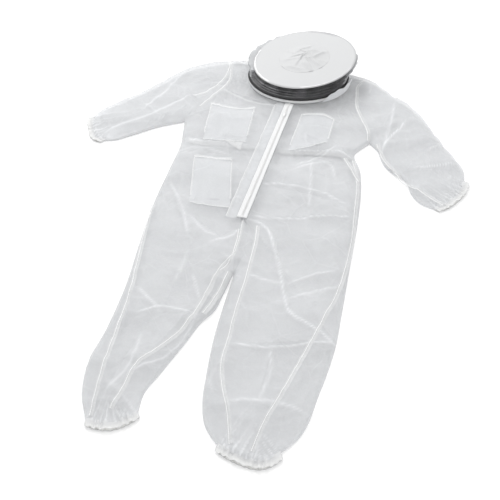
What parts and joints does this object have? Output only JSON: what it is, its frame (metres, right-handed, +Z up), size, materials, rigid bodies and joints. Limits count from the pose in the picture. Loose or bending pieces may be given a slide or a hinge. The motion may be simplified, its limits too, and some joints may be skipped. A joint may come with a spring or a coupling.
{
  "type": "beekeeping suit",
  "caption": "One-piece white beekeeping suit laid flat, with front zip, gathered cuffs and ankles, patch pockets, and a round veiled hat zipped to the collar.",
  "frame": {"origin": "middle of the laid-out suit's footprint, on the surface it lies on", "axes": "+Y from the feet to the hat, +Z up from the back of the suit to its front, +X to the wearer's left"},
  "size_m": [1.242, 1.695, 0.1209],
  "materials": {
    "suit_cloth": "thin white non-woven cloth, slightly see-through, fine grain, soft creases",
    "white_trim": "white woven tape and folded, stitched cloth",
    "elastic_webbing": "ribbed elastic",
    "coil_nylon": "white moulded nylon coil",
    "slider_enamel": "white enamelled casting",
    "hat_cloth": "matt white woven cotton, piped edge",
    "black_mesh": "black knitted net",
    "black_binding": "black woven binding",
    "spring_wire": "flat spring wire"
  },
  "bodies": {
    "hat": {"brim_piping": "hat_cloth", "brim_wire": "spring_wire", "hat_brim": "hat_cloth", "hat_crown": "hat_cloth", "sweatband": "hat_cloth"},
    "suit": {"collar_band": "white_trim", "collar_zip_coil": "coil_nylon", "collar_zip_tape": "white_trim", "crotch_gusset": "suit_cloth", "left_ankle_casing": "white_trim", "left_ankle_elastic": "elastic_webbing", "left_back_panel": "suit_cloth", "left_chest_pocket": "suit_cloth", "left_cuff_casing": "white_trim", "left_cuff_elastic": "elastic_webbing", "left_front_panel": "suit_cloth", "left_side_pocket_welt": "suit_cloth", "left_sleeve": "suit_cloth", "left_zip_coil": "coil_nylon", "left_zip_tape": "white_trim", "left_zip_top_stop": "slider_enamel", "right_ankle_casing": "white_trim", "right_ankle_elastic": "elastic_webbing", "right_back_panel": "suit_cloth", "right_chest_pocket": "suit_cloth", "right_cuff_casing": "white_trim", "right_cuff_elastic": "elastic_webbing", "right_front_panel": "suit_cloth", "right_hip_pocket": "suit_cloth", "right_sleeve": "suit_cloth", "right_zip_coil": "coil_nylon", "right_zip_tape": "white_trim", "right_zip_top_stop": "slider_enamel", "waist_casing": "white_trim", "waist_elastic": "elastic_webbing", "zip_bottom_stop": "slider_enamel", "zip_flap": "suit_cloth"},
    "hood": {"front_mesh": "black_mesh", "rear_veil": "white_trim", "veil_hoop": "black_binding", "veil_zip_coil": "coil_nylon", "veil_zip_tape": "white_trim"},
    "front_pull": {"front_zip_pull": "slider_enamel"},
    "front_slider": {"front_zip_slider": "slider_enamel"},
    "veil_pull": {"veil_zip_pull": "slider_enamel"},
    "veil_slider": {"veil_zip_slider": "slider_enamel"}
  },
  "joints": [
    {"name": "front_zip_run", "type": "slide", "parent": "suit", "child": "front_slider", "axis": [0, -1, 0], "range_m": [0, 0.534]},
    {"name": "front_pull_swing", "type": "hinge", "parent": "front_slider", "child": "front_pull", "pos_m": [0.01799, 0.41975, 0.036], "axis": [-1, 0, 0], "range_deg": [0, 170]},
    {"name": "veil_zip_run", "type": "hinge", "parent": "suit", "child": "veil_slider", "pos_m": [0.01199, 0.65275, 0.04315], "axis": [0, 0, 1], "range_deg": [-270, 0]},
    {"name": "veil_pull_swing", "type": "hinge", "parent": "veil_slider", "child": "veil_pull", "pos_m": [0.13523, 0.776, 0.04315], "axis": [0, 0, 1], "range_deg": [0, 165]},
    {"name": "hood_fold_back", "type": "hinge", "parent": "suit", "child": "hood", "pos_m": [0.01199, 0.82395, 0.04315], "axis": [-1, 0, 0], "range_deg": [0, 90]},
    {"name": "hat_raise", "type": "slide", "parent": "hood", "child": "hat", "axis": [0, 0, 1], "range_m": [0, 0.2], "deforming": ["front_mesh", "rear_veil"]}
  ]
}
